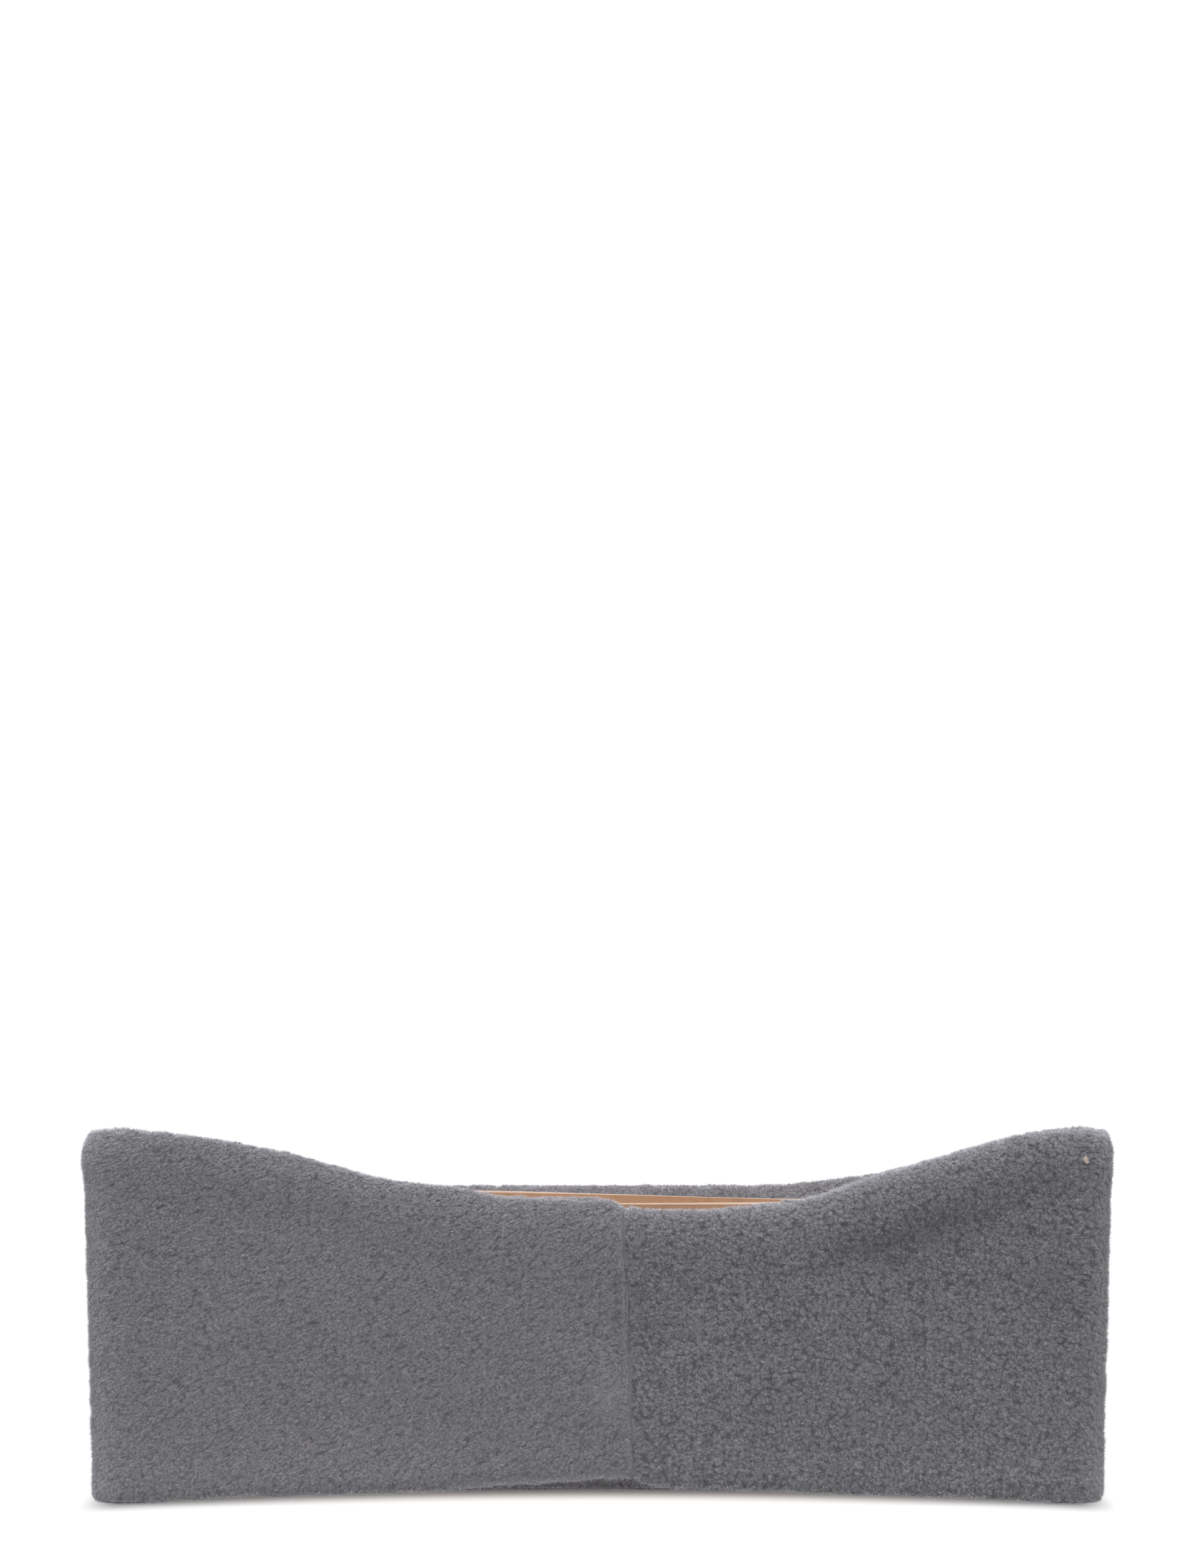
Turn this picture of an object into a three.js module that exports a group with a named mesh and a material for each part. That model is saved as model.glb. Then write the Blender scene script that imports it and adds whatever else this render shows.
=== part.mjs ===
// Fleece headband with two layers of cloth, standing on its lower edge as a long narrow loop
// round the sleeve of plain card that holds it open.
// Millimetres, +Z up. The nape seam is on the -Y side, the forehead is +Y, and the ears are at +X and -X.
import * as THREE from 'three';

// Driving sizes of the loop, measured on the mid surface between the two layers
const loop = {
  earReach: 120, // from the middle to a side fold, at the top
  footReach: 118, // the same at the lower edge
  taperTop: 70, // height at which the narrowing to the foot begins
  foldRadius: 5.5, // radius of each side fold
  napeBulge: 5, // how far the nape side swells beyond the fold radius
  browBulge: 26, // how far the forehead side does
  openTop: 0.7, // extra swell of both long sides at the top edge, taken off at the foot
  belly: 0.9, // gentle vertical crown of each long side
};

// Driving sizes of one layer of cloth
const cloth = {
  gap: 0.3, // clearance between the two layers
  wall: 2.3, // fleece thickness
  rimRound: 9, // height of the rounding at the top edge
  stepHalf: 5, // half the height over which the full rim passes into the wall below it
  stepLean: 0.5, // share of that step by which both layers lean out, the rest is extra thickness
  liningSwell: 0.5, // extra thickness of the lining in the rim
  footSwell: 0.3, // extra thickness along the lower edge
  footFull: 3, // up to here the foot keeps its full swell
  footClear: 9, // and here it has none
  footRound: 3, // height of the rounding at the lower edge
  soleWidth: 1.7, // how far the flat sole runs out from the gap
};

const seam = {
  top: 5.8, // place along X of the seam at the top edge
  foot: 8.8, // and at the lower edge
  spread: 42, // cloth this far from the seam no longer leans with it
  straightTo: 75, // height at which it reaches its top place
  groove: 1.2, // depth of the groove
  grooveHalf: 0.9, // half of the groove's width
  proud: 0.35, // how much fuller the left edge stands than the right
  proudReach: 9, // how far that fullness runs from the seam
};

// The sleeve of card inside the band
const card = {
  thickness: 0.6,
  foot: 10, // height of its lower edge
  levels: 3, // rows between its edges
};

// Height of the card's top edge, by place along X
const cardTops = [
  { x: -119.8, nape: 72.4, brow: 72.4 },
  { x: -60, nape: 71.8, brow: 73.3 },
  { x: -30, nape: 71.6, brow: 72.8 },
  { x: 15, nape: 71.6, brow: 71.5 },
  { x: 46, nape: 71.8, brow: 70.9 },
  { x: 119.8, nape: 71.6, brow: 71.6 },
];

// Both edges of the band on the nape side, by place along X
const napeEdges = [
  { x: -119.8, top: 88.7, foot: 0 },
  { x: -117.5, top: 89.3, foot: 0 },
  { x: -114, top: 89.4, foot: 0 },
  { x: -106, top: 89, foot: 0.5 },
  { x: -98, top: 88.2, foot: 1.2 },
  { x: -90, top: 87.2, foot: 1.7 },
  { x: -83, top: 85.8, foot: 2 },
  { x: -75, top: 84.5, foot: 2.2 },
  { x: -67, top: 82.3, foot: 2.4 },
  { x: -60, top: 80.3, foot: 2.6 },
  { x: -52, top: 78.2, foot: 2.8 },
  { x: -42, top: 76.5, foot: 3.3 },
  { x: -33, top: 75.4, foot: 3.8 },
  { x: -24, top: 74, foot: 4.6 },
  { x: -17, top: 73.5, foot: 5 },
  { x: -10, top: 73.6, foot: 5.5 },
  { x: 0, top: 73.4, foot: 6.3 },
  { x: 5, top: 72.8, foot: 6.6 },
  { x: 7.2, top: 71.4, foot: 6.4 },
  { x: 11.5, top: 71, foot: 4.5 },
  { x: 14, top: 70.9, foot: 4.2 },
  { x: 26, top: 70.7, foot: 4 },
  { x: 37, top: 71.7, foot: 3.6 },
  { x: 45, top: 72.6, foot: 3.2 },
  { x: 51, top: 73.4, foot: 3 },
  { x: 57.5, top: 75.7, foot: 2.8 },
  { x: 63.5, top: 78.1, foot: 2.5 },
  { x: 71, top: 80, foot: 2.2 },
  { x: 79, top: 82.3, foot: 1.9 },
  { x: 87, top: 84.7, foot: 1.7 },
  { x: 94.5, top: 86.8, foot: 1.4 },
  { x: 102, top: 88.6, foot: 0.9 },
  { x: 110, top: 89.5, foot: 0.2 },
  { x: 117.5, top: 89.5, foot: 0 },
  { x: 119.8, top: 88.9, foot: 0 },
];

// The same on the forehead side, whose lower edge lies on the floor
const browEdges = [
  { x: -119.8, top: 88.7, foot: 0 },
  { x: -117.5, top: 89.3, foot: 0 },
  { x: -114, top: 89.1, foot: 0 },
  { x: -106, top: 88.3, foot: 0 },
  { x: -98, top: 87, foot: 0 },
  { x: -90, top: 85.7, foot: 0 },
  { x: -83, top: 84, foot: 0 },
  { x: -75, top: 82.3, foot: 0 },
  { x: -67, top: 80, foot: 0 },
  { x: -60, top: 77.9, foot: 0 },
  { x: -52, top: 75.9, foot: 0 },
  { x: -44, top: 74.4, foot: 0 },
  { x: -30, top: 74.1, foot: 0 },
  { x: 0, top: 74.1, foot: 0 },
  { x: 30, top: 74.1, foot: 0 },
  { x: 44, top: 74.5, foot: 0 },
  { x: 56, top: 75.8, foot: 0 },
  { x: 63.5, top: 77, foot: 0 },
  { x: 71, top: 78.1, foot: 0 },
  { x: 79, top: 80.6, foot: 0 },
  { x: 87, top: 83.2, foot: 0 },
  { x: 94.5, top: 85.5, foot: 0 },
  { x: 102, top: 87.7, foot: 0 },
  { x: 110, top: 89.1, foot: 0 },
  { x: 117.5, top: 89.5, foot: 0 },
  { x: 119.8, top: 88.9, foot: 0 },
];

// The full rim on the nape side: how far below the top edge its step lies, and how deep it is
const napeRims = [
  { x: -118, reach: 12, step: 0.25 },
  { x: -90, reach: 13, step: 0.35 },
  { x: -40, reach: 14, step: 0.45 },
  { x: -24, reach: 17, step: 0.45 },
  { x: -7, reach: 21, step: 0.5 },
  { x: 6, reach: 21, step: 0.3 },
  { x: 16, reach: 17, step: 0.2 },
  { x: 30, reach: 14, step: 0.3 },
  { x: 45, reach: 16, step: 0.7 },
  { x: 62, reach: 17, step: 1.4 },
  { x: 78, reach: 16, step: 1.6 },
  { x: 96, reach: 14, step: 1.3 },
  { x: 108, reach: 12.5, step: 0.6 },
  { x: 118, reach: 12, step: 0.25 },
];
const browRim = { reach: 13, step: 0.3 };
const foldRim = { reach: 10.5, step: 2 };

// Soft hollows pressed into the nape side: centre, depth and half sizes
const hollows = [
  { x: 17, z: 45, depth: 0.8, wide: 13, tall: 16 },
  { x: 101, z: 50, depth: 0.7, wide: 12, tall: 13 },
  { x: -58, z: 22, depth: 0.6, wide: 22, tall: 11 },
  { x: -3, z: 27, depth: -0.5, wide: 8, tall: 13 },
];

// Heights at which a section turns: below the top edge, then above the lower edge
const rimSteps = [0.35, 1.4, 3, 5.5, 8.5, 11.5, 14.5, 17.5, 21];
const facingRimSteps = [4, 10, 15, 20];
const footSteps = [8.5, 4.6, 2, 0.6];
const facingFootSteps = [4.6];
const wallSteps = 4; // rows between rim and foot on the shown face
const facingWallSteps = 3; // and on the hidden face

// Stations round the loop
const foldSteps = 8;
const browSteps = 26;
const napeSteps = { right: 18, left: 20 };
const seamStations = { right: [0.45, 1.3, 3, 6], left: [0.45, 1, 2, 3.6, 7] };

const fleece = { color: 0x6c6b6f, roughness: 0.96, metalness: 0 };
const kraft = { color: 0xb08c6c, roughness: 0.8, metalness: 0 };

const smoothstep = THREE.MathUtils.smoothstep;

// A smooth curve through one column of a table, by place along X
function readTable(table, x, column) {
  const last = table.length - 1;
  if (x <= table[0].x) return table[0][column];
  if (x >= table[last].x) return table[last][column];
  const i = table.findIndex((row) => row.x > x) - 1;
  const slope = (a, b) => (table[b][column] - table[a][column]) / (table[b].x - table[a].x);
  const turns = (k) => k === 0 || k === last || slope(k - 1, k) * slope(k, k + 1) <= 0;
  const tangent = (k) => (turns(k) ? 0 : slope(k - 1, k + 1));
  const span = table[i + 1].x - table[i].x;
  const t = (x - table[i].x) / span;
  const h = t * t * (3 - 2 * t);
  const value = table[i][column] * (1 - h) + table[i + 1][column] * h;
  const lead = (t * (1 - t) * (1 - t) * tangent(i) - t * t * (1 - t) * tangent(i + 1)) * span;
  return value + lead;
}

// The stations round the loop at full reach: place, outward direction, side and distance from the seam
function makeStations() {
  const straight = loop.earReach - loop.foldRadius;
  const stations = [];
  const addSide = (x, side, fromSeam) => {
    const bulge = side < 0 ? loop.napeBulge : loop.browBulge;
    const lean = (2 * bulge * x) / loop.earReach ** 2;
    const outward = new THREE.Vector2(lean, side).normalize();
    stations.push({ x, side, turn: null, outward, fromSeam });
  };
  const addFold = (end) => {
    for (let k = 1; k < foldSteps; k += 1) {
      const turn = Math.PI * (k / foldSteps - 0.5) * end;
      const side = Math.sign(turn);
      const bulge = side < 0 ? loop.napeBulge : loop.browBulge;
      const x = straight + loop.foldRadius * Math.cos(turn);
      const lean = ((2 * bulge * x) / loop.earReach ** 2) * Math.abs(Math.sin(turn));
      const outward = new THREE.Vector2(end * (Math.cos(turn) + lean), Math.sin(turn)).normalize();
      stations.push({ x: end * x, side, turn, end, outward, fromSeam: Infinity });
    }
  };
  const middle = (seam.top + seam.foot) / 2;
  addSide(middle, -1, 0);
  seamStations.right.forEach((d) => addSide(middle + d, -1, d));
  const rightStart = middle + seamStations.right.at(-1);
  for (let k = 1; k <= napeSteps.right; k += 1) {
    const x = THREE.MathUtils.lerp(rightStart, straight, k / napeSteps.right);
    addSide(x, -1, x - middle);
  }
  addFold(1);
  for (let k = 0; k <= browSteps; k += 1) {
    addSide(THREE.MathUtils.lerp(straight, -straight, k / browSteps), 1, Infinity);
  }
  addFold(-1);
  const leftStart = middle - seamStations.left.at(-1);
  for (let k = 0; k < napeSteps.left; k += 1) {
    const x = THREE.MathUtils.lerp(-straight, leftStart, k / napeSteps.left);
    addSide(x, -1, x - middle);
  }
  [...seamStations.left].reverse().forEach((d) => addSide(middle - d, -1, -d));
  return stations;
}

// A point of the surface between the layers
function midPoint(station, z, below) {
  const reach = THREE.MathUtils.lerp(loop.footReach, loop.earReach, Math.min(1, z / loop.taperTop));
  const level = z / loop.taperTop;
  const crown = loop.belly * Math.sin(Math.PI * THREE.MathUtils.clamp(level, 0, 1));
  const bulge = (station.side < 0 ? loop.napeBulge : loop.browBulge) + loop.openTop * (2 * level - 1) + crown;
  const r = loop.foldRadius;
  if (station.turn !== null) {
    const x = reach - r + r * Math.cos(station.turn);
    const y = r * Math.sin(station.turn) + station.side * bulge * (1 - (x / reach) ** 2);
    return { x: station.end * x, y };
  }
  let x = (station.x * (reach - r)) / (loop.earReach - r);
  let y = r + bulge * (1 - (x / reach) ** 2);
  if (station.side < 0) {
    const near = Math.max(0, 1 - Math.abs(station.fromSeam) / seam.spread);
    const drift = THREE.MathUtils.lerp(seam.foot, seam.top, THREE.MathUtils.clamp(z / seam.straightTo, 0, 1));
    x += (drift - (seam.top + seam.foot) / 2) * near;
    hollows.forEach((h) => {
      y -= h.depth * Math.exp(-(((x - h.x) / h.wide) ** 2) - ((z - h.z) / h.tall) ** 2);
    });
  }
  y += cloth.stepLean * rimStep(station, below);
  return { x, y: station.side * y };
}

// How far the full rim stands out over the wall below it
function rimStep(station, below) {
  let { reach, step } = browRim;
  if (station.turn !== null) {
    reach = foldRim.reach;
    step = THREE.MathUtils.lerp(step, foldRim.step, Math.cos(station.turn));
  } else if (station.side < 0) {
    reach = readTable(napeRims, station.x, 'reach');
    step = readTable(napeRims, station.x, 'step');
  }
  return step * (1 - smoothstep(below, reach - cloth.stepHalf, reach + cloth.stepHalf));
}

// How far the shown face of a layer stands from the mid surface
function faceOut(station, below, above, out) {
  const step = rimStep(station, below);
  const lining = cloth.liningSwell * (1 - smoothstep(below, cloth.rimRound, 2 * cloth.rimRound));
  const rim = out > 0 ? (1 - cloth.stepLean) * step : lining;
  const foot = cloth.footSwell * (1 - smoothstep(above, cloth.footFull, cloth.footClear));
  let full = cloth.gap / 2 + cloth.wall + rim + foot;
  const fromSeam = Math.abs(station.fromSeam);
  full -= seam.groove * (1 - smoothstep(fromSeam, 0, seam.grooveHalf));
  if (station.fromSeam < 0) full += seam.proud * (1 - smoothstep(fromSeam, seam.grooveHalf, seam.proudReach));
  const topRound = below < cloth.rimRound ? Math.sqrt(1 - (1 - below / cloth.rimRound) ** 2) : 1;
  const footRound = above < cloth.footRound ? Math.sqrt(1 - (1 - above / cloth.footRound) ** 2) : 1;
  const sole = cloth.soleWidth + (full - cloth.soleWidth) * footRound;
  return cloth.gap / 2 + (Math.min(full, sole) - cloth.gap / 2) * topRound;
}

// One section of a layer as a closed ring of points, out is +1 for the outer layer and -1 for the lining
function makeSection(station, out) {
  const edges = station.side < 0 ? napeEdges : browEdges;
  const top = readTable(edges, station.x, 'top');
  const foot = readTable(edges, station.x, 'foot');
  const fromFoot = (above) => top - foot - above;
  const levels = (rim, count, feet) => {
    const start = rim.at(-1);
    const stop = fromFoot(feet[0]);
    const middle = Array.from({ length: count }, (_, k) => start + ((stop - start) * (k + 1)) / (count + 1));
    return [...rim, ...middle, ...feet.map(fromFoot)];
  };
  const place = (below, distance) => {
    const z = top - below;
    const mid = midPoint(station, z, below);
    return [mid.x + station.outward.x * distance * out, mid.y + station.outward.y * distance * out, z];
  };
  const shown = [...levels(rimSteps, wallSteps, footSteps), fromFoot(0)];
  const hidden = [fromFoot(0), ...levels(facingRimSteps, facingWallSteps, facingFootSteps).reverse(), 0];
  return [
    ...shown.map((below) => place(below, faceOut(station, below, fromFoot(0) - below, out))),
    ...hidden.map((below) => place(below, cloth.gap / 2)),
  ];
}

// One section of the card, flat against the fullest part of the lining
function makeCardSection(station) {
  const top = readTable(cardTops, station.x, station.side < 0 ? 'nape' : 'brow');
  const proud = station.fromSeam < 0 ? seam.proud : 0;
  const near = cloth.gap / 2 + cloth.wall + cloth.liningSwell + proud + cloth.gap;
  const heights = Array.from({ length: card.levels + 2 }, (_, k) => k / (card.levels + 1));
  const place = (share, distance) => {
    const z = THREE.MathUtils.lerp(card.foot, top, share);
    const mid = midPoint(station, z, Infinity);
    return [mid.x - station.outward.x * distance, mid.y - station.outward.y * distance, z];
  };
  return [
    ...heights.map((share) => place(share, near)),
    ...[...heights].reverse().map((share) => place(share, near + card.thickness)),
  ];
}

// A closed ring lofted through its sections, out is +1 where they run down the outer face
function makeRing(name, rings, out, finish) {
  const size = rings[0].length;
  const index = [];
  rings.forEach((ring, i) => {
    const next = (i + 1) % rings.length;
    ring.forEach((_, j) => {
      const after = (j + 1) % size;
      const [a, b, c, d] = [i * size + j, i * size + after, next * size + after, next * size + j];
      index.push(...(out > 0 ? [a, b, d, b, c, d] : [a, d, b, b, d, c]));
    });
  });
  const geometry = new THREE.BufferGeometry();
  geometry.setAttribute('position', new THREE.Float32BufferAttribute(rings.flat(2), 3));
  geometry.setIndex(index);
  const ring = new THREE.Mesh(geometry, new THREE.MeshStandardMaterial(finish));
  ring.name = name;
  return ring;
}

function makeLayer(name, out) {
  return makeRing(name, stations.map((station) => makeSection(station, out)), out, fleece);
}

const stations = makeStations();
const headband = new THREE.Group();
headband.add(makeLayer('outer_layer', 1));
headband.add(makeLayer('inner_layer', -1));
headband.add(makeRing('insert_card', stations.map(makeCardSection), -1, kraft));

// The origin is on the floor under the middle of the band
const box = new THREE.Box3().setFromObject(headband);
const middle = box.getCenter(new THREE.Vector3());
headband.children.forEach((piece) => {
  piece.geometry.translate(-middle.x, -middle.y, -box.min.z);
  piece.geometry.computeVertexNormals();
});

export default headband;
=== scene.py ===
import bmesh
import bpy
import math
import numpy as np
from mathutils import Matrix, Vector


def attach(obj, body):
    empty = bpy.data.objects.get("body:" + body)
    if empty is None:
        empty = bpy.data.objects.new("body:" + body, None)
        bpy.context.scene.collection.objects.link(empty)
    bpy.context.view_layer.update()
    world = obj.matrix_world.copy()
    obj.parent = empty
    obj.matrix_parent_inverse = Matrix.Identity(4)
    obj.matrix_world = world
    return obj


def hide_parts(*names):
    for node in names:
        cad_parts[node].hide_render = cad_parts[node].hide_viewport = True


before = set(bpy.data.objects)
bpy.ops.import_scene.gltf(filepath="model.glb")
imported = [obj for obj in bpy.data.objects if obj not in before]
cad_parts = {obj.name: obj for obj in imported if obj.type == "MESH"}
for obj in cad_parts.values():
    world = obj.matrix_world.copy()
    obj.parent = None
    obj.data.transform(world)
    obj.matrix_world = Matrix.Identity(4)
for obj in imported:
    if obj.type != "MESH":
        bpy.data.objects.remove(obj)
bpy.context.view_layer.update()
mm = 0.001
print("frame loaded")

# Camera at the photograph's angle: far off, level, and a little above the band
view = {
    "distance": 1830 * mm,
    "right": 0.4 * mm,
    "height": 171.3 * mm,
    "frameHeight": 376.5 * mm,  # what the picture's long side covers at the band
    "sensor": 36.0,
    "farthest": 30.0,
}


def addObject(name, data):
    made = bpy.data.objects.new(name, data)
    bpy.context.scene.collection.objects.link(made)
    return made


def makeCamera():
    lens = bpy.data.cameras.new("camera")
    lens.sensor_width = view["sensor"]
    lens.lens = view["sensor"] * view["distance"] / view["frameHeight"]
    lens.clip_end = view["farthest"]
    camera = addObject("camera", lens)
    camera.location = (view["right"], -view["distance"], view["height"])
    camera.rotation_euler = (math.pi / 2, 0, 0)
    bpy.context.scene.camera = camera


# Shader helpers: arithmetic on a wire adds Math nodes
class Wire:
    def __init__(self, graph, socket):
        self.graph = graph
        self.socket = socket

    def calc(self, operation, first, second=0.0):
        return self.graph.add("ShaderNodeMath", {"operation": operation}, {0: first, 1: second})

    def __add__(self, other):
        return self.calc("ADD", self, other)

    def __radd__(self, other):
        return self.calc("ADD", other, self)

    def __sub__(self, other):
        return self.calc("SUBTRACT", self, other)

    def __rsub__(self, other):
        return self.calc("SUBTRACT", other, self)

    def __mul__(self, other):
        return self.calc("MULTIPLY", self, other)

    def __rmul__(self, other):
        return self.calc("MULTIPLY", other, self)

    def __neg__(self):
        return self.calc("SUBTRACT", 0, self)

    def __abs__(self):
        return self.calc("ABSOLUTE", self)


class Graph:
    def __init__(self, material):
        self.material = material
        self.tree = material.node_tree
        self.shader = self.tree.nodes["Principled BSDF"]

    def add(self, kind, settings=None, given=None, out=0):
        node = self.tree.nodes.new(kind)
        for name, value in (settings or {}).items():
            setattr(node, name, value)
        for name, value in (given or {}).items():
            self.feed(node.inputs[name], value)
        return Wire(self, node.outputs[out])

    def feed(self, socket, value):
        if isinstance(value, Wire):
            self.tree.links.new(value.socket, socket)
        else:
            socket.default_value = value

    def attribute(self, name, out="Fac"):
        return self.add("ShaderNodeAttribute", {"attribute_name": name}, out=out)

    def place(self):
        return self.add("ShaderNodeTexCoord", out="Object")

    def parts(self, vector):
        node = self.add("ShaderNodeSeparateXYZ", given={0: vector}).socket.node
        return [Wire(self, out) for out in node.outputs]

    def vectors(self, operation, *given):
        return self.add("ShaderNodeVectorMath", {"operation": operation}, dict(enumerate(given)))

    def spread(self, value, low, high):
        # 0 below the low value, 1 above the high one, and smooth between
        given = {"Value": value, "From Min": low, "From Max": high}
        return self.add("ShaderNodeMapRange", {"interpolation_type": "SMOOTHSTEP"}, given)

    def rising(self, value, tone):
        # How much of a tone shows where its pattern is high: from, to, and the most of it
        low, high, most = tone
        return self.spread(value, low, high) * most

    def falling(self, value, tone):
        # The same where its pattern is low
        low, high, most = tone
        return (1 - self.spread(value, low, high)) * most

    def blend(self, factor, first, second):
        # Sockets 6 and 7 take the Mix node's colours, and 2 gives its colour
        given = {"Factor": factor, 6: first, 7: second}
        return self.add("ShaderNodeMix", {"data_type": "RGBA"}, given, 2)

    def noise(self, place, scale, detail=2.0, roughness=0.5, out=0):
        given = {"Vector": place, "Scale": scale, "Detail": detail, "Roughness": roughness}
        return self.add("ShaderNodeTexNoise", {}, given, out)

    def domes(self, place, scale, fall=1.5):
        # Rounded swellings, 1 at their tops, with sharp valleys between them
        given = {"Vector": place, "Scale": scale}
        reach = self.add("ShaderNodeTexVoronoi", {"feature": "F1"}, given)
        return 1 - fall * reach * reach

    def swellings(self, place, pattern):
        # Large swellings, and the same with small ones on them
        large, small, share = pattern
        tops = self.domes(place, large)
        return tops, share * tops + (1 - share) * self.domes(place, small)

    def stirred(self, place, scale, amount):
        # The place, pushed about by swirls
        swirl = self.noise(place, scale, out="Color")
        centred = self.vectors("SUBTRACT", swirl, (0.5, 0.5, 0.5))
        return self.vectors("MULTIPLY_ADD", centred, (amount, amount, amount), place)

    def emboss(self, height, relief):
        # Gives the shader a small relief of a strength and a depth
        strength, depth = relief
        given = {"Strength": strength, "Distance": depth, "Height": height}
        self.feed(self.shader.inputs["Normal"], self.add("ShaderNodeBump", {}, given))


def srgb(red, green, blue):
    def linear(c):
        c /= 255
        return c / 12.92 if c <= 0.04045 else ((c + 0.055) / 1.055) ** 2.4

    return (linear(red), linear(green), linear(blue), 1)


white = (1, 1, 1, 1)
black = (0, 0, 0, 1)

# White table in a white room, wide lights above, in front and behind, a faint one under the lifted edge
studio = {
    "tableRadius": 1.05,
    "tableSides": 96,
    "tablePaint": {
        "Base Color": (0.3, 0.3, 0.3, 1),
        "Roughness": 0.95,
        "Specular IOR Level": 0.0,
        "Emission Strength": 0.95,
    },
    "shadowDepth": 0.86,  # how dark the painted soft shadow at the forehead side's foot is
    "shadowReach": 31 * mm,  # and over what distance it fades, forward and back
    "shadowFrom": (-14 * mm, 18.5 * mm),  # its place across at the ears and at the middle
    "shadowEnd": 119 * mm,  # where it ends along X
    "shadowFade": (0.9, 1.1),  # and how softly, in squares of the share of that length
    "shadowBehind": 8 * mm,  # how far behind its foot it begins to fade
    "roomRadius": 9.0,
    "roomRounds": 3,
    "roomPaint": {"Base Color": black, "Emission Color": white, "Emission Strength": 1.1},
    "sky": white,
    "skyStrength": 0.38,
    "lights": {
        "topLight": {
            "place": (-0.1, -0.42, 1.55), "aim": (0, 0, 0.04), "size": (2.6, 1.2), "power": 70
        },
        "frontLight": {
            "place": (-0.5, -2.1, 1.0), "aim": (0, 0, 0.04), "size": (1.6, 1.2), "power": 15
        },
        "backLight": {
            "place": (0.3, 1.7, 1.25), "aim": (0, 0, 0.05), "size": (2.4, 1.2), "power": 34
        },
        "bounce": {
            "place": (0, -0.03, 0.0005), "aim": (0, -0.03, 1), "size": (0.26, 0.12), "power": 0.045
        },
    },
}


def paintPlain(name, settings):
    paint = bpy.data.materials.new(name)
    paint.use_nodes = True
    shader = paint.node_tree.nodes["Principled BSDF"]
    for socket, value in settings.items():
        shader.inputs[socket].default_value = value
    return paint


def addStage(name, shape, paint):
    mesh = bpy.data.meshes.new(name)
    shape.to_mesh(mesh)
    shape.free()
    mesh.materials.append(paint)
    made = addObject(name, mesh)
    made.visible_diffuse = False
    return made


def makeLight(name, spec, unlit):
    light = bpy.data.lights.new(name, "AREA")
    light.shape = "RECTANGLE"
    light.size, light.size_y = spec["size"]
    light.energy = spec["power"]
    lamp = addObject(name, light)
    lamp.visible_camera = False
    lamp.location = spec["place"]
    lamp.rotation_euler = (Vector(spec["aim"]) - lamp.location).to_track_quat("-Z", "Y").to_euler()
    lamp.light_linking.receiver_collection = unlit


def paintTable():
    # White and glowing, with a soft shadow painted into its glow along the foot of the forehead side
    g = Graph(paintPlain("whiteTable", studio["tablePaint"]))
    x, y, _ = g.parts(g.place())
    atEars, atMiddle = studio["shadowFrom"]
    along = x * (1 / studio["shadowEnd"])
    foot = atMiddle - (atMiddle - atEars) * along * along
    behind = foot + studio["shadowBehind"]
    before = g.spread(y, foot - studio["shadowReach"], foot)
    after = 1 - g.spread(y, behind, behind + studio["shadowReach"])
    ends = 1 - g.spread(along * along, *studio["shadowFade"])
    paintedShadow = before * after * ends * studio["shadowDepth"]
    g.feed(g.shader.inputs["Emission Color"], g.blend(paintedShadow, white, black))
    return g.material


def makeStudio():
    shape = bmesh.new()
    bmesh.ops.create_circle(
        shape, cap_ends=True, segments=studio["tableSides"], radius=studio["tableRadius"]
    )
    table = addStage("table", shape, paintTable())
    shape = bmesh.new()
    bmesh.ops.create_icosphere(shape, subdivisions=studio["roomRounds"], radius=studio["roomRadius"])
    room = addStage("room", shape, paintPlain("whiteRoom", studio["roomPaint"]))
    room.visible_glossy = False
    room.visible_transmission = False
    room.visible_shadow = False
    world = bpy.data.worlds.new("sky")
    world.use_nodes = True
    world.node_tree.nodes["Background"].inputs["Color"].default_value = studio["sky"]
    world.node_tree.nodes["Background"].inputs["Strength"].default_value = studio["skyStrength"]
    bpy.context.scene.world = world
    # The lamps pass the table by, so that only the sky and the painted shadow shade it
    unlit = bpy.data.collections.new("unlit")
    unlit.objects.link(table)
    unlit.collection_objects[0].light_linking.link_state = "EXCLUDE"
    for name, spec in studio["lights"].items():
        makeLight(name, spec, unlit)
    bpy.context.scene.view_settings.view_transform = "Standard"


makeCamera()
makeStudio()
print("camera and studio made")


# Which way the face that shows looks, on each of the two layers
outerSide = 1
innerSide = -1

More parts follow.
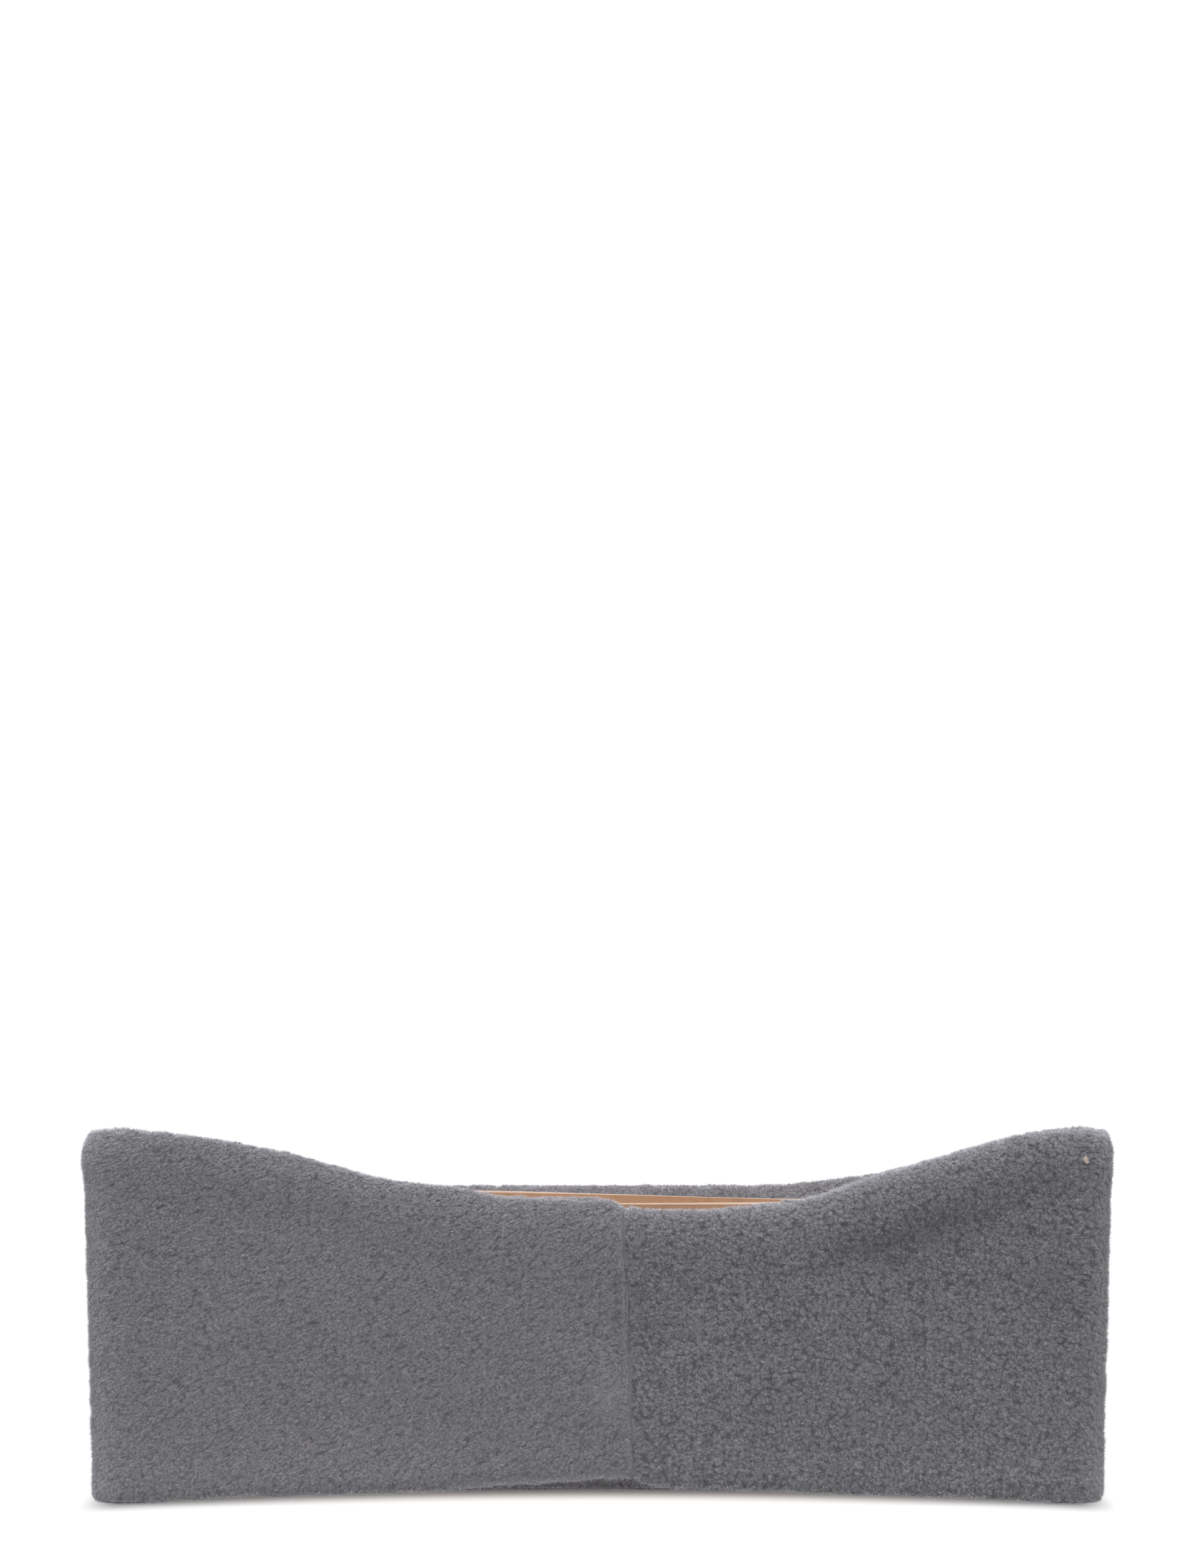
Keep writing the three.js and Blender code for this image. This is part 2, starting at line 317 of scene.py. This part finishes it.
# The shape of the loop and of the fleece on it, in millimetres
fleece = {
    "merge": 0.002,  # corners of the solid this close become one
    "quadLean": 0.6,  # how far two triangles that become a quad may lean apart, in radians
    "quadSkew": 1.2,  # and how far from square the quad may be
    "rounding": 2,  # rounds of subdivision before the fine mesh
    "cell": 0.76,  # size of the fine mesh's faces
    "facing": (-0.6, -0.2),  # over what turn towards the other layer a face stops showing
    "hiddenBelow": 0.05,  # faces that show less than this are thinned
    "hiddenKeep": 0.1,  # to this share of them
    "hiddenPull": 10,  # how strictly the thinning keeps to them
    "foldX": 113.5,  # where each ear fold's centre is along X
    "foldY": -10.3,  # and across
    "foldRadius": 6.5,
    "seamTop": 5.8,
    "seamFoot": 8.8,
    "seamHeight": 75.0,
    "seamDepth": 0.15,  # how deep the groove is cut again after remeshing
    "seamHalf": 0.6,
    "changeFrom": 20,  # how far past the right fold the nap begins to go smooth
    "changeLess": 50,  # and how much shorter than the forehead side that stretch is
    "stir": 2.3,  # size of the swirls that push nubs and wisps about
    "pebble": 1.5,  # size of a nub on the pebbled side
    "pebbleStir": 0.7,
    "pebbleHeight": 0.08,
    "wisp": (2.2, 1.15),  # length and width of a wisp on the smooth side
    "wispStir": 0.4,
    "wispSlope": 33.0,  # how steeply the wisps rise to the right, in degrees
    "wispHeight": 0.07,
    "napLevel": 0.6,  # how high up a nub or wisp the solid's face lies
    "lump": 6.5,  # size of the soft lumps
    "lumpHeight": 0.02,
    "edgeWave": 2.4,  # size of the waves along the edges
    "edgeWaveHeight": 0.32,
    "edgeFacing": (0.25, 0.8),  # over what turn up or down a face becomes an edge
    "endFacing": (0.8, 0.95),  # and over what turn along X a fold's end
    "edgeFrom": 1,  # the waves begin at this height
    "hem": {"level": 6.25, "slope": 0.072, "tall": 1.6},  # the lifted edge, and its smooth strip
    "hemEnds": (-36, 8),  # where the strip begins and ends along X
    "hemFade": {"left": 6, "right": 3, "top": 0.5},  # and how softly
    "rimLift": {"at": -34, "wide": 8, "lift": 0.6},  # where the nape side's rim swells up
    "rimBand": (62, 76),  # heights over which that begins
    "upFacing": {outerSide: (0.1, 0.6), innerSide: (-0.1, 0.5)},  # over what turn up a face is a rim's, which is painted lighter as if lit from above
    "seed": {outerSide: 17, innerSide: 27},
}

# Lighter and darker patches on the nape side: centre, half sizes, and lighter or darker; the last two
# are painted shade in the trough under the rim
patches = [
    {"x": 1.8, "z": 26.5, "wide": 4.5, "tall": 7, "tone": 1.0},
    {"x": 9, "z": 44, "wide": 9, "tall": 9, "tone": -0.8},
    {"x": 107, "z": 51, "wide": 9, "tall": 8, "tone": -0.8},
    {"x": -98, "z": 84, "wide": 12, "tall": 4, "tone": -0.8},
    {"x": 60, "z": 20, "wide": 14, "tall": 8, "tone": -0.3},
    {"x": -60, "z": 60, "wide": 25, "tall": 9, "tone": 0.3},
    # painted shade in the trough under the rim
    {"x": 67, "z": 62, "wide": 12, "tall": 5, "tone": -0.95},
    {"x": 85, "z": 67, "wide": 12, "tall": 5, "tone": -0.8},
]

# The noise that shapes the nap: how many random values it has, the primes by which a cell
# picks one, and how far apart the three parts of a swirl are taken
lattice = {"values": 4096, "primes": (73856093, 19349663, 83492791), "apart": 17.3}
tiny = 1e-9  # keeps divisions clear of 0


def seamX(z):
    level = np.clip(z / fleece["seamHeight"], 0, 1)
    return fleece["seamFoot"] + (fleece["seamTop"] - fleece["seamFoot"]) * level


def pastFold(p):
    # Place measured from the fold's centre line, 0 along X between the folds
    x = np.sign(p[:, 0]) * np.maximum(np.abs(p[:, 0]) - fleece["foldX"], 0)
    return x, p[:, 1] - fleece["foldY"]


def flattened(p):
    # Place along the loop from the seam, distance from the line between the folds, and height
    c, radius = fleece["foldX"], fleece["foldRadius"]
    past, across = pastFold(p)
    x, z = p[:, 0], p[:, 2]
    seam = seamX(z)
    arc = radius * (np.arctan2(across, np.abs(past) + tiny) + math.pi / 2)
    half = math.pi * radius
    full = 4 * c + 2 * half
    nape = np.where(x < seam, x - seam + full, x - seam)
    along = np.where(across < 0, nape, 3 * c + half - seam - (x + c))
    along = np.where(past > 0, c - seam + arc, along)
    along = np.where(past < 0, full - seam - c - arc, along)
    return np.stack([along, np.hypot(past, across), z], 1)


def outwardOf(p):
    past, across = pastFold(p)
    away = np.stack([past, across, np.zeros(len(p))], 1)
    return away / np.maximum(np.linalg.norm(away, axis=1, keepdims=True), tiny)


def softNoise(place, seed):
    # Smooth noise from -1 to 1 with one bump to a unit cell
    table = np.random.default_rng(seed).random(lattice["values"]) * 2 - 1
    base = np.floor(place).astype(np.int64)
    part = place - base
    part = part * part * (3 - 2 * part)
    total = np.zeros(len(place))
    for corner in np.ndindex(2, 2, 2):
        weight = np.prod(np.where(np.array(corner) == 1, part, 1 - part), axis=1)
        cell = (base + np.array(corner)) * np.array(lattice["primes"])
        total += weight * table[np.bitwise_xor.reduce(cell, axis=1) % lattice["values"]]
    return total


def puffs(place, seed, gain=1.7, roundness=0.7):
    # Rounded swellings from 0 to 1 with sharp valleys between them
    return np.minimum(gain * np.abs(softNoise(place, seed)), 1) ** roundness


def smoothStep(value, low, high):
    t = np.clip((value - low) / (high - low), 0, 1)
    return t * t * (3 - 2 * t)


def bell(value, middle, half):
    return np.exp(-(((value - middle) / half) ** 2))


def points(mesh, what="vertices", key="co"):
    source = getattr(mesh, what)
    flat = np.zeros(len(source) * 3)
    source.foreach_get(key, flat)
    return flat.reshape(-1, 3)


def storeNumbers(mesh, name, values):
    layer = mesh.attributes.new(name, "FLOAT", "POINT")
    layer.data.foreach_set("value", values.astype(np.float32))


def storePlaces(mesh, name, values):
    layer = mesh.attributes.new(name, "FLOAT_VECTOR", "POINT")
    layer.data.foreach_set("vector", values.astype(np.float32).ravel())


def bake(piece):
    # Applies the piece's modifiers to its mesh
    shaped = piece.evaluated_get(bpy.context.evaluated_depsgraph_get())
    made = bpy.data.meshes.new_from_object(shaped)
    piece.modifiers.clear()
    piece.data = made


def startFrom(nodeName, pieceName):
    # A merged copy of a solid, in quads, smoothed and remeshed evenly
    shape = bmesh.new()
    shape.from_mesh(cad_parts[nodeName].data)
    bmesh.ops.remove_doubles(shape, verts=shape.verts, dist=fleece["merge"] * mm)
    bmesh.ops.join_triangles(
        shape,
        faces=shape.faces,
        angle_face_threshold=fleece["quadLean"],
        angle_shape_threshold=fleece["quadSkew"],
        cmp_seam=False,
    )
    mesh = bpy.data.meshes.new(pieceName)
    shape.to_mesh(mesh)
    shape.free()
    piece = addObject(pieceName, mesh)
    smooth = piece.modifiers.new("smooth", "SUBSURF")
    smooth.levels = fleece["rounding"]
    smooth.render_levels = fleece["rounding"]
    even = piece.modifiers.new("even", "REMESH")
    even.mode = "VOXEL"
    even.voxel_size = fleece["cell"] * mm
    even.use_smooth_shade = True
    bake(piece)
    return piece


def shownShare(mesh, side):
    # 1 on the face that shows, 0 on the face towards the other layer
    facing = np.sum(points(mesh, "vertex_normals", "vector") * outwardOf(points(mesh) / mm), axis=1)
    return smoothStep(side * facing, *fleece["facing"])


def thinHidden(piece, side):
    # Fewer faces where the two layers face each other
    shown = shownShare(piece.data, side)
    hiddenOnes = np.flatnonzero(shown < fleece["hiddenBelow"]).tolist()
    piece.vertex_groups.new(name="hidden").add(hiddenOnes, 1.0, "REPLACE")
    thin = piece.modifiers.new("thin", "DECIMATE")
    thin.ratio = 1 - (1 - fleece["hiddenKeep"]) * len(hiddenOnes) / len(shown)
    thin.vertex_group = "hidden"
    thin.vertex_group_factor = fleece["hiddenPull"]
    bake(piece)
    piece.vertex_groups.clear()


def pebbledShare(flat):
    # How pebbled the nap is: all of it right of the seam, none left of it,
    # passing over round the forehead side
    start = fleece["foldX"] + math.pi * fleece["foldRadius"] + fleece["changeFrom"]
    return 1 - smoothStep(flat[:, 0], start, start + 2 * fleece["foldX"] - fleece["changeLess"])


def combedPlace(flat):
    # Along and across the wisps
    slope = math.radians(fleece["wispSlope"])
    along = flat[:, 0] * math.cos(slope) + flat[:, 2] * math.sin(slope)
    across = flat[:, 2] * math.cos(slope) - flat[:, 0] * math.sin(slope)
    return np.stack([along, flat[:, 1], across], 1)


def seamDistance(flat):
    # Along the loop to the seam, less than 0 left of it
    full = 4 * fleece["foldX"] + 2 * math.pi * fleece["foldRadius"]
    return np.where(flat[:, 0] > full / 2, flat[:, 0] - full, flat[:, 0])


def napHeight(place, normals, flat, seed):
    # Nubs, wisps, soft lumps, the waves of the edges and the seam's groove
    wobble = np.stack(
        [softNoise(flat / fleece["stir"] + k * lattice["apart"], seed + k) for k in range(3)], 1
    )
    pebbled = pebbledShare(flat)
    nub = puffs((flat + fleece["pebbleStir"] * wobble) / fleece["pebble"], seed + 3)
    length, width = fleece["wisp"]
    strands = combedPlace(flat) / np.array([length, width, width])
    wisp = puffs(strands + fleece["wispStir"] * wobble, seed + 5)
    height = pebbled * (nub - fleece["napLevel"]) * fleece["pebbleHeight"]
    height += (1 - pebbled) * (wisp - fleece["napLevel"]) * fleece["wispHeight"]
    height += softNoise(flat / fleece["lump"], seed + 6) * fleece["lumpHeight"]
    edge = smoothStep(np.abs(normals[:, 2]), *fleece["edgeFacing"])
    edge += smoothStep(np.abs(normals[:, 0]), *fleece["endFacing"])
    edge *= place[:, 2] > fleece["edgeFrom"]
    height += edge * softNoise(flat / fleece["edgeWave"], seed + 7) * fleece["edgeWaveHeight"]
    return height - fleece["seamDepth"] * bell(seamDistance(flat), 0, fleece["seamHalf"])


def rimSwell(place):
    # How far the nape side's rim is pushed up
    rim = fleece["rimLift"]
    onNape = smoothStep(place[:, 2], *fleece["rimBand"]) * (place[:, 1] < fleece["foldY"])
    return rim["lift"] * bell(place[:, 0], rim["at"], rim["wide"]) * onNape


def toneAndShadePatches(place, side):
    total = np.zeros(len(place))
    if side == outerSide:
        for patch in patches:
            x = (place[:, 0] - patch["x"]) / patch["wide"]
            z = (place[:, 2] - patch["z"]) / patch["tall"]
            total += patch["tone"] * np.exp(-x * x - z * z)
    return total * (place[:, 1] < fleece["foldY"])


def hemShare(place, side):
    # The smooth strip along the lifted edge of the nape side
    hem, fade = fleece["hem"], fleece["hemFade"]
    left, right = fleece["hemEnds"]
    above = place[:, 2] - hem["level"] - hem["slope"] * place[:, 0]
    inside = smoothStep(place[:, 0], left, left + fade["left"])
    inside *= 1 - smoothStep(place[:, 0], right - fade["right"], right)
    strip = 1 - smoothStep(above, hem["tall"] - fade["top"], hem["tall"] + fade["top"])
    return strip * inside * (place[:, 1] < fleece["foldY"]) * (side == outerSide)


def raiseNap(piece, side):
    mesh = piece.data
    place = points(mesh) / mm
    normals = points(mesh, "vertex_normals", "vector")
    shown = shownShare(mesh, side)
    flat = flattened(place)
    height = napHeight(place, normals, flat, fleece["seed"][side])
    moved = place + normals * (height * shown)[:, None]
    moved[:, 2] += rimSwell(place)
    mesh.vertices.foreach_set("co", (moved * mm).ravel())
    storeNumbers(mesh, "pebbled", pebbledShare(flat))
    storeNumbers(mesh, "shown", shown)
    storeNumbers(mesh, "fromSeam", seamDistance(flat))
    storeNumbers(mesh, "patchToneAndShade", toneAndShadePatches(place, side))
    storeNumbers(mesh, "hem", hemShare(place, side))
    storeNumbers(mesh, "litFromAbove", smoothStep(normals[:, 2], *fleece["upFacing"][side]))
    storePlaces(mesh, "flattened", flat)
    storePlaces(mesh, "combed", combedPlace(flat))
    mesh.update()


# Colours of the fleece, as they look in soft light, and the patterns that carry them
nap = {
    "smoothColour": srgb(104, 103, 108),
    # painted shade: the pebbled side's colour is darkened to stand in for the shade within its nap
    "pebbledShadedColour": srgb(90, 89, 93),
    "creviceShadeColour": srgb(62, 61, 65),
    "paleHighlightColour": srgb(146, 145, 151),
    "warmTint": srgb(112, 105, 110),
    "greenTint": srgb(106, 110, 104),
    "hemColour": srgb(126, 124, 128),
    "lintColour": srgb(196, 178, 160),
    "paint": {
        "Roughness": 0.95,
        "Specular IOR Level": 0.1,
        "Sheen Weight": 0.5,
        "Sheen Roughness": 0.4,
    },
    "relief": (1.0, 0.45 * mm),
    "swirls": (0.9, 0.8),  # to a millimetre, and how far they push the nubs and wisps
    "nubs": (0.84, 1.8, 0.75),  # large and small ones to a millimetre, and the large ones' share
    "wisps": (1.0, 2.0, 0.6),
    "combing": (0.62, 1.25, 1.25),  # along the wisps, into the cloth and across them
    "fineSwirls": (1.6, 0.6),
    "fineNoise": (1.6, 4.0, 0.75),  # loose fibres: to a millimetre, detail and roughness
    "fineHeight": 2.0,
    "fineLower": 0.5,  # how much less they stand up on the pebbled side
    "hemFlat": 0.7,  # how much of the relief the hem's strip loses
    "rimHighlight": (0.1, 0.2),  # how much painted highlight lightens the upward rims, and how much more on the pebbled side
    "tintNoise": 0.11,
    "finePart": 0.7,  # how much the loose fibres break up the valleys
    "smallPart": 0.15,  # and how much the swellings add to the painted highlight on the tips
    "seamNoise": 0.7,
    "seamWander": 1.6,  # how far the seam's painted shade line strays, in millimetres
    # From where to where in its pattern each tone comes in, and the most of it
    "tint": (0.5, 0.75, 0.25),
    "wispValley": (0.4, 0.82, 0.5),
    "nubValley": (0.42, 0.72, 0.52),
    "lowSpeckShade": (0.36, 0.5, 0.45),
    "tipHighlight": (0.5, 0.8, 0.75),
    "patchToneRange": (0, 1.2, 0.25),
    "seamShadeLine": (0.05, 0.6, 0.25),
    "hemMost": 0.7,
    # A fleck of lint: its place along the loop from the seam, its height and its slanting shape
    "lint": {
        "along": 109.7,
        "level": 81.9,
        "swirls": (2.0, 0.5),
        "wide": (2.2, 0.6),
        "tall": (0.9, 0.3),
        "edge": (0.6, 1.1, 0.9),
    },
}


def lintShare(g, flat):
    lint = nap["lint"]
    along, _, level = g.parts(g.stirred(flat, *lint["swirls"]))
    x = along - lint["along"]
    z = level - lint["level"]
    wide = lint["wide"][0] * x + lint["wide"][1] * z
    tall = lint["tall"][0] * z - lint["tall"][1] * x
    return g.falling(wide * wide + tall * tall, lint["edge"])


def makeFleece(name):
    g = Graph(paintPlain(name, nap["paint"]))
    flat = g.attribute("flattened", "Vector")
    pebbled = g.attribute("pebbled")
    patchToneAndShade = g.attribute("patchToneAndShade")
    hem = g.attribute("hem")
    litFromAbove = g.attribute("litFromAbove")
    # Small curls on the pebbled side, wisps all one way on the smooth side, loose fibres over both
    nubs, curl = g.swellings(g.stirred(flat, *nap["swirls"]), nap["nubs"])
    combed = g.vectors("MULTIPLY", g.attribute("combed", "Vector"), nap["combing"])
    _, wisp = g.swellings(g.stirred(combed, *nap["swirls"]), nap["wisps"])
    fine = g.noise(g.stirred(flat, *nap["fineSwirls"]), *nap["fineNoise"])
    small = pebbled * curl + (1 - pebbled) * wisp
    fineHeight = (nap["fineHeight"] - nap["fineLower"] * pebbled) * fine
    height = (small + fineHeight) * (1 - nap["hemFlat"] * hem)
    # The base colour, darkened on the pebbled side as painted shade of its nap, a painted highlight on
    # the upward rims, and a faint warm and green tint
    pale, more = nap["rimHighlight"]
    colour = g.blend(pebbled * (1 - litFromAbove), nap["smoothColour"], nap["pebbledShadedColour"])
    # painted highlight: faces turned up are paler, as if lit from above
    colour = g.blend(litFromAbove * (pale + more * pebbled), colour, nap["paleHighlightColour"])
    tint = g.noise(flat, nap["tintNoise"])
    colour = g.blend(g.rising(tint, nap["tint"]), colour, nap["warmTint"])
    colour = g.blend(g.rising(1 - tint, nap["tint"]), colour, nap["greenTint"])
    # Painted shade in the valleys between wisps and nubs and in specks where the loose fibres lie low,
    # and a painted highlight on the high tips
    broken = nap["finePart"] * fine
    valleys = g.falling(wisp + broken, nap["wispValley"]) * (1 - hem) * (1 - pebbled)
    valleys += g.falling(nubs + broken, nap["nubValley"]) * pebbled
    colour = g.blend(valleys, colour, nap["creviceShadeColour"])
    colour = g.blend(g.falling(fine, nap["lowSpeckShade"]), colour, nap["creviceShadeColour"])
    tips = g.rising(fine + nap["smallPart"] * small, nap["tipHighlight"])
    colour = g.blend(tips, colour, nap["paleHighlightColour"])
    # Lighter and darker patches, partly painted shade, the seam's painted shade line, the hem's strip
    # and the lint
    colour = g.blend(g.rising(patchToneAndShade, nap["patchToneRange"]), colour, nap["paleHighlightColour"])
    colour = g.blend(g.rising(-patchToneAndShade, nap["patchToneRange"]), colour, nap["creviceShadeColour"])
    # painted shade along the seam's groove
    wander = g.attribute("fromSeam") + nap["seamWander"] * (g.noise(flat, nap["seamNoise"]) - 0.5)
    colour = g.blend(g.falling(abs(wander), nap["seamShadeLine"]), colour, nap["creviceShadeColour"])
    colour = g.blend(hem * nap["hemMost"], colour, nap["hemColour"])
    colour = g.blend(lintShare(g, flat), colour, nap["lintColour"])
    g.feed(g.shader.inputs["Base Color"], colour)
    g.emboss(height, nap["relief"])
    return g.material


def makeLayer(nodeName, pieceName, side):
    piece = startFrom(nodeName, pieceName)
    thinHidden(piece, side)
    raiseNap(piece, side)
    piece.data.materials.clear()
    piece.data.materials.append(makeFleece(pieceName + "Cloth"))
    piece.data.polygons.foreach_set("use_smooth", [True] * len(piece.data.polygons))
    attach(piece, "root")
    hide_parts(nodeName)
    triangles = sum(len(f.vertices) - 2 for f in piece.data.polygons)
    print(pieceName, "made with", triangles, "triangles")
    return piece


# Short fibre ends standing off the cloth, in millimetres
pile = {
    "length": (0.5, 1.2),
    "width": (0.08, 0.17),
    "lean": (15, 80),  # degrees from straight out
    "rooted": 0.15,  # how deep each starts under the surface
    "lowestTip": 0.05,  # none reaches further down to the table
    "shownFrom": 0.5,  # how much a face has to show to grow them
    "rimMore": 50.0,  # how many more of them there are on the upper rims
    "footMore": 15.0,  # on the lower edges
    "foldMore": 30.0,  # and at the folds' ends
    "rimFacing": (0.2, 0.6),  # over what turn up or down a face becomes an edge
    "foldFacing": (0.85, 0.97),  # and over what turn along X a fold's end
    "bedsPart": 4,  # how far behind the folds' centre line the nape side's fibres end
    "askew": 0.01,  # keeps a fibre's way across clear of its way out
    "paleHighlightColour": srgb(200, 199, 206),
    "rootColour": srgb(116, 115, 120),
    "tipPart": 0.7,  # how much paler the tips are painted than the roots, a painted glow of light through them
    "tonePart": 0.3,  # and how much one fibre is than the next
    "paint": {"Roughness": 0.8, "Specular IOR Level": 0.2, "Sheen Weight": 0.3},
}

# The beds of fibres: how many, on the nape side or the forehead side, and above what height
beds = {
    "napePile": {"count": 47000, "nearSide": True, "lowest": 0.3, "seed": 31},
    "browPile": {"count": 36000, "nearSide": False, "lowest": 0.3, "seed": 32},
    "liningPile": {"count": 37000, "nearSide": False, "lowest": 0.3, "seed": 33},
    "rimPile": {"count": 28000, "nearSide": True, "lowest": 66, "seed": 34},
}

# A fibre is a closed needle with a three-sided foot and one point
needle = np.array([[0, 1, 3], [1, 2, 3], [2, 0, 3], [0, 2, 1]])
needleFoot = 3
needleCorners = needleFoot + 1


def unit(vectors):
    return vectors / np.linalg.norm(vectors, axis=1, keepdims=True)


def trianglesOf(mesh):
    mesh.calc_loop_triangles()
    corners = np.zeros(len(mesh.loop_triangles) * 3, dtype=np.int32)
    mesh.loop_triangles.foreach_get("vertices", corners)
    return corners.reshape(-1, 3)


def fibreOdds(mesh, corners, place, normals, bed):
    # How likely each triangle is to grow a fibre: by its area, and more on rims and folds
    shown = np.zeros(len(place), dtype=np.float32)
    mesh.attributes["shown"].data.foreach_get("value", shown)
    a, b, c = (place[corners[:, k]] for k in range(3))
    middle = (a + b + c) / 3
    area = np.linalg.norm(np.cross(b - a, c - a), axis=1)
    facing = normals[corners].mean(1)
    more = pile["rimMore"] * smoothStep(facing[:, 2], *pile["rimFacing"])
    more += pile["footMore"] * smoothStep(-facing[:, 2], *pile["rimFacing"])
    more += pile["foldMore"] * smoothStep(np.abs(facing[:, 0]), *pile["foldFacing"])
    odds = area * (shown[corners].mean(1) > pile["shownFrom"]) * (1 + more)
    odds *= (middle[:, 1] < fleece["foldY"] + pile["bedsPart"]) == bed["nearSide"]
    odds *= middle[:, 2] > bed["lowest"]
    return odds / odds.sum()


def plantPile(name, cloth, paint):
    # Thin needles on the shown face, joined in one mesh
    bed = beds[name]
    count = bed["count"]
    rng = np.random.default_rng(bed["seed"])
    corners = trianglesOf(cloth.data)
    place = points(cloth.data) / mm
    normals = points(cloth.data, "vertex_normals", "vector")
    odds = fibreOdds(cloth.data, corners, place, normals, bed)
    chosen = rng.choice(len(corners), size=count, p=odds)
    share = rng.random((count, 3)) ** 0.5
    share /= share.sum(1, keepdims=True)
    root = (place[corners[chosen]] * share[:, :, None]).sum(1)
    out = unit(normals[corners[chosen]].mean(1))
    drift = rng.normal(size=(count, 3))
    drift = unit(drift - (drift * out).sum(1, keepdims=True) * out)
    lean = np.radians(rng.uniform(*pile["lean"], count))[:, None]
    way = out * np.cos(lean) + drift * np.sin(lean)
    length = rng.uniform(*pile["length"], count)[:, None]
    half = rng.uniform(*pile["width"], count)[:, None] / 2
    acrossOne = unit(np.cross(way, out + pile["askew"]))
    acrossTwo = np.cross(way, acrossOne)
    start = root - out * pile["rooted"]
    tip = start + way * length
    tip[:, 2] = np.maximum(tip[:, 2], pile["lowestTip"])
    foot = []
    for k in range(needleFoot):
        turn = k * math.tau / needleFoot
        foot.append(start + half * (acrossOne * math.cos(turn) + acrossTwo * math.sin(turn)))
    verts = np.stack([*foot, tip], 1).reshape(-1, 3)
    faces = (np.arange(count)[:, None, None] * needleCorners + needle).reshape(-1, 3)
    made = bpy.data.meshes.new(name)
    made.from_pydata((verts * mm).tolist(), [], faces.tolist())
    storeNumbers(made, "tipShare", np.tile([0.0] * needleFoot + [1.0], count))
    storeNumbers(made, "tone", np.repeat(rng.random(count), needleCorners))
    made.materials.append(paint)
    piece = addObject(name, made)
    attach(piece, "root")
    print(name, "made with", len(made.polygons), "triangles")
    return piece


def makePileMaterial():
    g = Graph(paintPlain("pileFibre", pile["paint"]))
    # painted glow: the fibres are paler towards their tips, as if lit through
    pale = g.attribute("tipShare") * pile["tipPart"] + pile["tonePart"] * g.attribute("tone")
    g.feed(g.shader.inputs["Base Color"], g.blend(pale, pile["rootColour"], pile["paleHighlightColour"]))
    return g.material


outerFleece = makeLayer("outer_layer", "outerFleece", outerSide)
innerFleece = makeLayer("inner_layer", "innerFleece", innerSide)
pileMaterial = makePileMaterial()
napePile = plantPile("napePile", outerFleece, pileMaterial)
browPile = plantPile("browPile", outerFleece, pileMaterial)
liningPile = plantPile("liningPile", innerFleece, pileMaterial)
rimPile = plantPile("rimPile", innerFleece, pileMaterial)


# Bare kraft card of the sleeve, with small fibres and a soft grain, in millimetres
kraft = {
    "colour": srgb(166, 130, 102),
    "darkFibreAndShade": srgb(136, 100, 74),
    "paleFibre": srgb(190, 158, 132),
    "paleCutAndHighlight": srgb(222, 200, 184),
    "cutHeight": 0.3,  # how much of the edge shows pale, for the cut's paler fibre and a painted highlight
    "cutFade": (1.2, 0.8),  # the stretch below the edge over which that begins, in shares of it
    "cutMost": 0.8,
    "farEdge": (72.05, -0.0225),  # the forehead panel's edge at the middle, and its slope along X
    "nearEdge": 71.65,  # height of the nape panel's edge
    "panelsPart": -10.0,  # place across where one panel passes into the other
    "panelsBlend": 0.5,
    "nearShade": 0.35,  # how much painted shade darkens the nape panel, which lies in the rim's shade
    "grainNoise": (0.35, 4.0, 0.6),  # bumps to a millimetre, detail and roughness
    "fibreStretch": (0.25, 2.2, 2.2),
    "fibreNoise": (1.0, 3.0, 0.6),
    # From where to where in its pattern each tone comes in, and the most of it
    "grainTone": (0.45, 0.8, 0.5),
    "fibreTone": (0.55, 0.8, 0.6),
    "paint": {"Roughness": 0.85, "Specular IOR Level": 0.3},
    "relief": (0.3, 0.05 * mm),
}


def makeKraft():
    g = Graph(paintPlain("kraftCard", kraft["paint"]))
    place = g.vectors("MULTIPLY", g.place(), (1 / mm, 1 / mm, 1 / mm))
    x, y, z = g.parts(place)
    grain = g.noise(place, *kraft["grainNoise"])
    fibres = g.noise(g.vectors("MULTIPLY", place, kraft["fibreStretch"]), *kraft["fibreNoise"])
    colour = g.blend(g.rising(grain, kraft["grainTone"]), kraft["colour"], kraft["darkFibreAndShade"])
    colour = g.blend(g.rising(fibres, kraft["fibreTone"]), colour, kraft["paleFibre"])
    part, soft = kraft["panelsPart"], kraft["panelsBlend"]
    onFar = g.spread(y, part - soft, part + soft)
    level, slope = kraft["farEdge"]
    edge = kraft["nearEdge"] + onFar * (x * slope + (level - kraft["nearEdge"]))
    low, high = (-share * kraft["cutHeight"] for share in kraft["cutFade"])
    # painted shade on the nape panel, under the rim
    colour = g.blend((1 - onFar) * kraft["nearShade"], colour, kraft["darkFibreAndShade"])
    # pale band at the top edge: the cut's own paler fibre, with a painted highlight
    colour = g.blend(g.rising(z - edge, (low, high, kraft["cutMost"])), colour, kraft["paleCutAndHighlight"])
    g.feed(g.shader.inputs["Base Color"], colour)
    g.emboss(fibres, kraft["relief"])
    return g.material


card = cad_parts["insert_card"]
kraftPaint = makeKraft()
for slot in card.material_slots:
    slot.material = kraftPaint
print("card painted")
